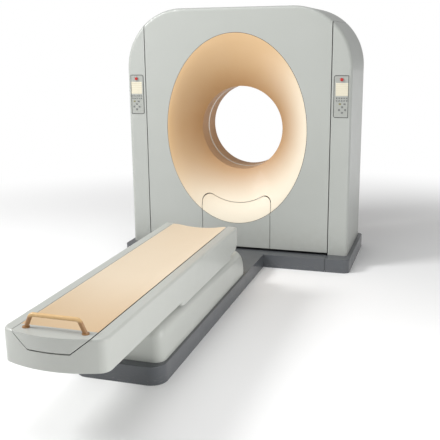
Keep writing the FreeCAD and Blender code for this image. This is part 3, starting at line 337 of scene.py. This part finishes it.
screen = Finish("display_window", roughness=0.12, coat=0.5)
wave = {"Vector": screen.place, "Scale": 20.0, "Distortion": 0.0}
lines = screen.node("ShaderNodeTexWave", {"bands_direction": "Z"}, wave)
faint_lines = lines.above(0.8, 0.3)
screen.feed("Base Color", screen.blend(colour(218, 212, 192), colour(204, 196, 172), faint_lines))
dress(screen, "display_left", "display_right")

stop_red = Finish("stop_red", roughness=0.3, coat=0.4)
button_red = stop_red.blend(colour(186, 28, 22), colour(168, 20, 16), stop_red.noise(0.01))
stop_red.feed("Base Color", button_red)
dress(stop_red, "stop_button_left", "stop_button_right")


def pillow(x, y, z, half_w, half_h, thick, rings=6, sides=24, power=5.0, swell=0.4):
    """A closed key cap on a rounded square, where |u| and |v| to the power sum to 1. At ring angle
    t, from 0 to a half turn, a ring stands (cos t) of the thickness forward, and its size is the
    outline's times (sin t) to the power of the swell."""
    a = np.linspace(0, 2 * np.pi, sides, endpoint=False)[None, :]
    t = np.linspace(0, np.pi, rings)[1:-1, None]
    outline = (np.abs(np.cos(a)) ** power + np.abs(np.sin(a)) ** power) ** (-1 / power)
    size = outline * np.sin(t) ** swell
    depth = y - thick * np.cos(t) + 0 * a
    u, v = half_w * size * np.cos(a), half_h * size * np.sin(a)
    around = np.stack([x + u, depth, z + v], axis=-1)
    points = np.vstack([around.reshape(-1, 3), [(x, y - thick, z), (x, y + thick, z)]])
    quads = grid_faces(rings - 2, sides, False, True)
    i = np.arange(sides)
    last, j = (rings - 3) * sides, (i + 1) % sides
    front = np.column_stack([i, j, np.full((sides, 2), len(points) - 2)])
    back = np.column_stack([last + j, last + i, np.full((sides, 2), len(points) - 1)])
    return points, np.vstack([quads, front, back])


def caps(name, places, thick, finish, body):
    """Many key caps as one piece: places are (x, y, z, half width, half height)."""
    made = [pillow(*place, thick) for place in places]
    starts = np.cumsum([0] + [len(points) for points, _ in made[:-1]])
    points = np.vstack([points for points, _ in made])
    faces = np.vstack([faces + start for (_, faces), start in zip(made, starts)])
    return show(name, points, faces, finish, body)


def rounded_bead(
    low, high, corner, y, bead_r, square_side, square_corner=0.002, steps=10, sides=8
):
    """A closed round bead along a rectangle in the XZ plane. Each corner is an arc of centre c and
    radius k, c + k (cos t, sin t), as t runs a quarter turn, and on the square side k is the square
    corner's."""
    quarter = np.linspace(0, np.pi / 2, steps)
    spots = ((1, 1, 0), (-1, 1, 1), (-1, -1, 2), (1, -1, 3))
    line, outward = [], []
    for sx, sz, turns in spots:
        k = square_corner if sx == square_side else corner
        centre_x = high[0] - k if sx > 0 else low[0] + k
        centre_z = high[1] - k if sz > 0 else low[1] + k
        centre = np.array([centre_x, centre_z])
        t = quarter + turns * np.pi / 2
        arrow = np.column_stack([np.cos(t), np.sin(t)])
        line.append(centre + k * arrow)
        outward.append(arrow)
    line, outward = np.vstack(line)[:, None, :], np.vstack(outward)[:, None, :]
    b = np.linspace(0, 2 * np.pi, sides, endpoint=False)[None, :, None]
    flat = line + bead_r * np.cos(b) * outward
    depth = y + bead_r * np.sin(b[:, :, 0]) + 0 * flat[:, :, 0]
    points = np.stack([flat[:, :, 0], depth, flat[:, :, 1]], axis=-1)
    return points.reshape(-1, 3), grid_faces(4 * steps, sides, True, True)


seal_grey = Finish("seal_grey", roughness=0.6)
seal_shade = seal_grey.blend(colour(64, 66, 66), colour(92, 94, 93), seal_grey.noise(0.02))
seal_grey.feed("Base Color", seal_shade)
key_grey = Finish("key_grey", roughness=0.45)
key_shade = key_grey.blend(colour(104, 106, 105), colour(126, 128, 127), key_grey.noise(0.01))
key_grey.feed("Base Color", key_shade)
key_olive = Finish("key_olive", roughness=0.45)
olive_shade = key_olive.blend(colour(122, 118, 74), colour(140, 134, 88), key_olive.noise(0.01))
key_olive.feed("Base Color", olive_shade)

# Each x is a distance from the machine's middle. row_key, arrow_key and side_key are the keys' half
# widths and half heights.
panel_low, panel_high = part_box("control_panel_right")
flat_edge = 0.913
seal_corner, seal_radius, seal_proud = 0.014, 0.003, 0.0005
key_front = panel_low[1] - 0.0002
key_thick = 0.0008
row_x, column_pitch = 0.8235, 0.0195
row_z, row_pitch = 1.381, 0.020
row_key = (0.0055, 0.005)
cross_x, cross_z = 0.868, 1.291
cross_up, cross_out = 0.022, 0.024
arrow_key = (0.0075, 0.0075)
side_shift, side_z = 0.018, 1.336
side_key = (0.009, 0.006)
for side, sign in (("right", 1), ("left", -1)):
    ends = sorted((sign * panel_low[0], sign * flat_edge))
    points, faces = rounded_bead(
        (ends[0], panel_low[2]), (ends[1], panel_high[2]), seal_corner, house_front - seal_proud,
        seal_radius, sign,
    )
    show("panel_seal_" + side, points, faces[:, ::-1], seal_grey, "base")
    rows = [
        (sign * (row_x + column * column_pitch), key_front, row_z - row * row_pitch, *row_key)
        for row in range(2)
        for column in range(5)
    ]
    caps("key_rows_" + side, rows, key_thick, key_grey, "base")
    middle = sign * cross_x
    arrows = [
        (middle + dx, key_front, cross_z + dz, *arrow_key)
        for dx, dz in ((0, cross_up), (0, -cross_up), (-cross_out, 0), (cross_out, 0))
    ]
    arrows.append((middle + side_shift, key_front, side_z, *side_key))
    caps("arrow_keys_" + side, arrows, key_thick, key_grey, "base")
    home = [(middle - side_shift, key_front, side_z, *side_key)]
    caps("home_key_" + side, home, key_thick, key_olive, "base")

# ---- dark plinth round the gantry and under the couch ----
# Folded steel skirting with a dark grey textured powder coat: a fine grain, a slight sheen, and
# scuffs near the floor from shoes and mops.
plinth_coat = Finish("plinth_coat", coat=0.45)
grain = plinth_coat.noise(0.0025, detail=1.0)
scuff = plinth_coat.noise(0.03, stretch=(1.0, 1.0, 5.0)).above(0.62, 0.1)
scuff_height, scuff_fade = 0.05, 0.05
low_down = 1 - plinth_coat.along("Z").above(scuff_height, scuff_fade)
dark_grey = plinth_coat.blend(colour(72, 75, 79), colour(84, 87, 91), grain)
scuffed_grey = plinth_coat.blend(dark_grey, colour(120, 121, 122), scuff * low_down * 0.4)
plinth_coat.feed("Base Color", scuffed_grey)
plinth_coat.feed("Roughness", 0.36 + 0.14 * plinth_coat.noise(0.08) + 0.12 * scuff * low_down)
plinth_coat.relief(grain, 0.00015)
dress(
    plinth_coat, "plinth_front", "plinth_left", "plinth_right", "plinth_rear", "couch_plinth",
    "plinth_link",
)

# ---- couch covers: body, skirt, pedestal and end block ----
# Light grey mouldings, a touch brighter and glossier than the gantry's, with faint handling marks.
couch_plastic = Finish("couch_plastic", coat=0.2)
tone = couch_plastic.noise(0.5, detail=2.0)
couch_grey = couch_plastic.blend(colour(180, 183, 177), colour(188, 190, 185), tone)
couch_plastic.feed("Base Color", couch_grey)
couch_plastic.feed("Roughness", 0.3 + 0.14 * couch_plastic.noise(0.07))
couch_plastic.relief(couch_plastic.noise(0.004, detail=1.0), 0.0001)
dress(couch_plastic, "couch_cover", "couch_skirt", "pedestal_cover", "cradle_end_block")

# ---- cradle ----
# The patient's tray: a carbon skin under a smooth beige foam mat, dished so that a body lies
# centred.
cradle_mat = Finish("cradle_mat", coat=0.05)
fold = cradle_mat.noise(0.35, detail=2.0, stretch=(1.0, 0.4, 1.0))
# The mat is painted darker towards the foot end and paler towards the gantry: painted shade along
# the couch.
foot_shade_from, foot_shade_fade = -2.9, 1.0
lit_towards_gantry = cradle_mat.along("Y").above(foot_shade_from, foot_shade_fade)
shaded_lengthwise = cradle_mat.blend(colour(198, 166, 124), colour(228, 212, 188), lit_towards_gantry)
beige = cradle_mat.blend(shaded_lengthwise, colour(208, 182, 148), fold * 0.4)
weave = cradle_mat.noise(0.0018, detail=1.0)
cradle_mat.feed("Base Color", cradle_mat.blend(beige, colour(226, 212, 190), weave * 0.25))
cradle_mat.feed("Roughness", 0.46 + 0.16 * cradle_mat.noise(0.1))
cradle_mat.relief(weave, 0.0002)
dress(cradle_mat, "cradle")

# ---- pull handle ----
# A bent steel tube in a tan coat that hands have polished, with painted shade on its underside.
handle_coat = Finish("handle_coat", coat=0.25)
underside_shade_height, underside_shade_fade = 0.594, 0.016
# Below this height the tan is painted brown: painted shade under the tube.
underside_shade = 1 - handle_coat.along("Z").above(underside_shade_height, underside_shade_fade)
worn = handle_coat.noise(0.02)
tan = handle_coat.blend(colour(208, 168, 112), colour(222, 188, 136), worn)
handle_coat.feed("Base Color", handle_coat.blend(tan, colour(140, 94, 54), underside_shade * 0.8))
handle_coat.feed("Roughness", 0.3 + 0.2 * worn)
dress(handle_coat, "pull_handle")

# ---- machine steel, castings, races, belts and slip ring ----
# What the covers hide: welded frames in grey machine paint, ground races and shafts, cast boxes on
# the rotor, black belts, and the brass tracks that carry power to the rotor.
frame_paint = Finish("frame_paint")
chips = frame_paint.noise(0.02).above(0.7, 0.05)
frame_grey = frame_paint.blend(colour(120, 124, 128), colour(150, 152, 154), chips)
frame_paint.feed("Base Color", frame_grey)
frame_paint.feed("Roughness", 0.45 + 0.15 * frame_paint.noise(0.05))
frame_paint.relief(frame_paint.noise(0.005), 0.0002)
dress(
    frame_paint, "gantry_base", "tower_frame_left", "tower_frame_right", "stator_frame",
    "couch_base", "couch_frame", "lift_arm_front", "lift_arm_rear", "lift_gearmotor",
    "tilt_gearmotor", "drive_motor", "cradle_motor", "counterweight",
)

ground_steel = Finish("ground_steel", metallic=1.0)
lay = ground_steel.noise(0.01, stretch=(1.0, 12.0, 1.0))
steel_grey = ground_steel.blend(colour(188, 190, 192), colour(170, 172, 176), lay)
ground_steel.feed("Base Color", steel_grey)
ground_steel.feed("Roughness", 0.22 + 0.16 * lay)
dress(
    ground_steel, "tilt_bearing_left", "tilt_bearing_right", "bearing_outer_race",
    "bearing_inner_race", "bearing_balls", "cradle_rails", "cradle_carriages", "motor_pulley",
    "cradle_drive_pulley", "cradle_idler_pulley",
)

cast_alloy = Finish("cast_alloy", metallic=0.9)
sand = cast_alloy.noise(0.004)
cast_alloy.feed("Base Color", cast_alloy.blend(colour(176, 177, 178), colour(196, 197, 198), sand))
cast_alloy.feed("Roughness", 0.42 + 0.2 * sand)
cast_alloy.relief(sand, 0.0003)
dress(cast_alloy, "rotor_drum", "xray_tube", "collimator", "hv_generator", "detector_array")

belt_rubber = Finish("belt_rubber", roughness=0.75)
belt_black = belt_rubber.blend(colour(30, 30, 31), colour(46, 46, 46), belt_rubber.noise(0.01))
belt_rubber.feed("Base Color", belt_black)
dress(belt_rubber, "drive_belt", "cradle_belt")

brass_tracks = Finish("brass_tracks", metallic=1.0)
polish = brass_tracks.noise(0.015)
brass_shade = brass_tracks.blend(colour(198, 164, 98), colour(180, 142, 80), polish)
brass_tracks.feed("Base Color", brass_shade)
brass_tracks.feed("Roughness", 0.2 + 0.2 * polish)
dress(brass_tracks, "slip_ring")
